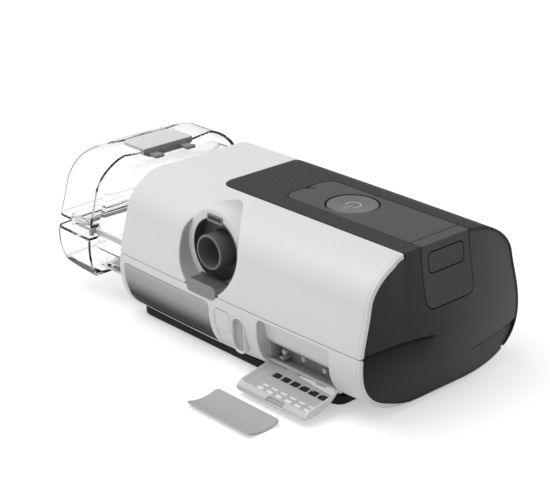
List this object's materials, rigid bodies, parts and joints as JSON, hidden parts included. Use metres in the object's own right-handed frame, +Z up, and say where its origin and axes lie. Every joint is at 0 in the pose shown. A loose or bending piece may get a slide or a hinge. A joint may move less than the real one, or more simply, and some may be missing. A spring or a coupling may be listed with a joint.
{
  "type": "bedside cpap machine with water tub",
  "caption": "Long rounded housing with a clear water tub drawn part out, air outlet, start button, dark end panel and an open filter cover with its loose pad.",
  "frame": {"origin": "on the underside of the base tray, under the middle of the housing", "axes": "+X along the machine from the water tub to the dark end, +Y to the side with the display, -Y to the side with the air outlet, +Z up"},
  "size_m": [0.2915, 0.1904, 0.0953],
  "materials": {
    "white_housing": "satin",
    "dark_fascia": "finely textured",
    "dark_smooth": "smooth",
    "button_grey": "smooth",
    "black_base": "matte",
    "outlet_grey": "satin",
    "tube_dark": "satin",
    "silver_plate": "printed film",
    "filter_grey": "satin",
    "filter_fibre": "fibre",
    "clear_tub": "clear moulded",
    "silicone": "translucent",
    "grip_grey": "satin",
    "steel": "brushed",
    "rubber_feet": "matte",
    "display": "gloss",
    "blower_white": "satin",
    "circuit_board": "lacquered",
    "foam": "open foam"
  },
  "bodies": {
    "housing": {"upper_casing": "white_housing", "lower_casing": "white_housing", "base_tray": "black_base", "foot_1": "rubber_feet", "foot_2": "rubber_feet", "foot_3": "rubber_feet", "foot_4": "rubber_feet", "base_screw_1": "steel", "base_screw_2": "steel", "base_screw_3": "steel", "base_screw_4": "steel", "fascia": "dark_fascia", "control_strip": "dark_smooth", "button_switch": "black_base", "light_sensor": "dark_smooth", "display_glass": "display", "display_module": "black_base", "end_panel": "dark_fascia", "end_tab": "dark_smooth", "card_socket": "black_base", "outlet_dish": "outlet_grey", "outlet_tube": "tube_dark", "outlet_plug": "black_base", "rating_plate": "silver_plate", "notice_plate": "white_housing", "inlet_bezel": "white_housing", "inlet_socket": "outlet_grey", "filter_bay": "filter_grey", "cover_hinge_pin_1": "filter_grey", "cover_hinge_pin_2": "filter_grey", "bay_liner": "black_base", "hot_plate": "steel", "hot_plate_bed": "black_base", "port_seal_1": "silicone", "port_seal_2": "silicone", "blower_lower": "blower_white", "blower_upper": "blower_white", "blower_motor": "steel", "outlet_duct": "silicone", "blower_duct": "silicone", "main_board": "circuit_board", "power_board": "circuit_board", "inlet_foam": "foam"},
    "tub": {"tub_base": "clear_tub", "tub_lid": "clear_tub", "tub_seal": "silicone", "tub_heater_plate": "steel", "lid_catch_1": "black_base", "lid_catch_2": "black_base"},
    "grip": {"tub_grip": "grip_grey"},
    "button": {"start_button": "button_grey"},
    "filter_door": {"filter_cover": "filter_grey"},
    "card_door": {"card_cover": "dark_smooth"},
    "outlet_release": {"outlet_clip": "outlet_grey"},
    "fan": {"impeller": "blower_white"},
    "pad": {"filter_pad": "filter_fibre"}
  },
  "joints": [
    {"name": "tub_slide", "type": "slide", "parent": "housing", "child": "tub", "axis": [-1, 0, 0], "range_m": [-0.0322, 0.045]},
    {"name": "tub_grip_press", "type": "slide", "parent": "tub", "child": "grip", "axis": [0, 0, -1], "range_m": [0, 0.001], "stiffness_N_per_m": 3000, "springref_m": -0.0003},
    {"name": "start_button_press", "type": "slide", "parent": "housing", "child": "button", "axis": [0, 0, -1], "range_m": [0, 0.001], "stiffness_N_per_m": 2500, "springref_m": -0.0003},
    {"name": "filter_cover_hinge", "type": "hinge", "parent": "housing", "child": "filter_door", "pos_m": [0.06825, -0.0604, 0.0135], "axis": [1, 0, 0], "range_deg": [-90, 0]},
    {"name": "card_cover_hinge", "type": "hinge", "parent": "housing", "child": "card_door", "pos_m": [0.1168, 0.0075, 0.077], "axis": [0, 1, 0], "range_deg": [0, 90]},
    {"name": "outlet_clip_flex", "type": "hinge", "parent": "housing", "child": "outlet_release", "pos_m": [-0.0116, -0.0706, 0.0413], "axis": [1, 0, 0], "range_deg": [0, 5], "stiffness_Nm_per_rad": 0.3, "springref_deg": -1.15},
    {"name": "impeller_spin", "type": "hinge", "parent": "housing", "child": "fan", "pos_m": [0.055, 0.014, 0.033], "axis": [0, 0, 1], "continuous": true},
    {"name": "filter_pad_lift", "type": "slide", "parent": "housing", "child": "pad", "axis": [0, 0, 1], "range_m": [0, 0.05]}
  ]
}
